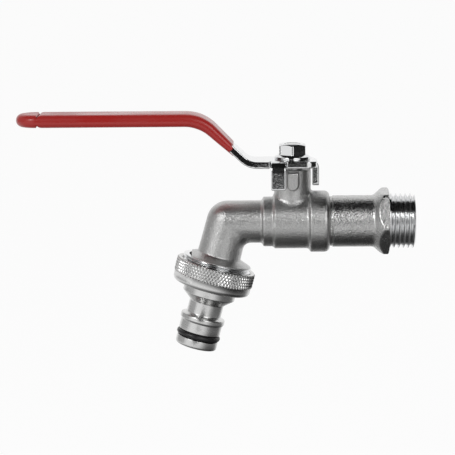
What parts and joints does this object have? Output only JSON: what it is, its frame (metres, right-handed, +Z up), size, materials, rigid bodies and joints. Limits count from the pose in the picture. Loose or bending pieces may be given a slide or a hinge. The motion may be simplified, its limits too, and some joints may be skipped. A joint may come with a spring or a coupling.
{
  "type": "lever hose tap",
  "caption": "Quarter-turn ball-valve garden tap: bent spout, sleeved lever handle, male wall thread with hexagon flange, and a knurled screw-on quick-coupling hose nipple.",
  "frame": {"origin": "middle of the spanner flange's wall-side face, on the inlet axis", "axes": "+X along the inlet into the wall, +Z up along the valve stem, -Y towards the side that carries the stop lug; the lever's rest position is open, over the spout"},
  "size_m": [0.1513, 0.0306, 0.0919],
  "materials": {
    "plated_casting": "nickel plate over a sand-blasted forging, satin with a fine grain",
    "bright_plate": "polished chrome plate",
    "turned_metal": "nickel plate over turned metal, satin",
    "red_sleeve": "glossy dipped soft plastic",
    "seat_plastic": "smooth white low-friction plastic",
    "black_rubber": "smooth satin rubber"
  },
  "bodies": {
    "tap_body": {"valve_body": "plated_casting", "inlet_tailpiece": "plated_casting", "inlet_seat": "seat_plastic", "outlet_seat": "seat_plastic"},
    "lever_set": {"lever": "bright_plate", "grip_sleeve": "red_sleeve", "lever_nut": "bright_plate", "stem": "turned_metal", "thrust_washer": "seat_plastic", "lower_stem_seal": "black_rubber", "upper_stem_seal": "black_rubber", "ball": "bright_plate"},
    "washer": {"outlet_washer": "black_rubber"},
    "connector": {"hose_connector": "turned_metal", "connector_seal": "black_rubber"}
  },
  "joints": [
    {"name": "lever_turn", "type": "hinge", "parent": "tap_body", "child": "lever_set", "pos_m": [-0.0366, 0, 0.0226], "axis": [0, 0, 1], "range_deg": [-90, 0]},
    {"name": "washer_slide", "type": "slide", "parent": "tap_body", "child": "washer", "axis": [-0.2571, 0, -0.9664], "range_m": [0, 0.0045]},
    {"name": "connector_turn", "type": "hinge", "parent": "washer", "child": "connector", "pos_m": [-0.06901, 0, -0.02899], "axis": [-0.2571, 0, -0.9664], "range_deg": [0, 900]}
  ],
  "couplings": [
    {"joint": "connector_turn", "follows": "washer_slide", "rad_per_m": 3463.7}
  ]
}
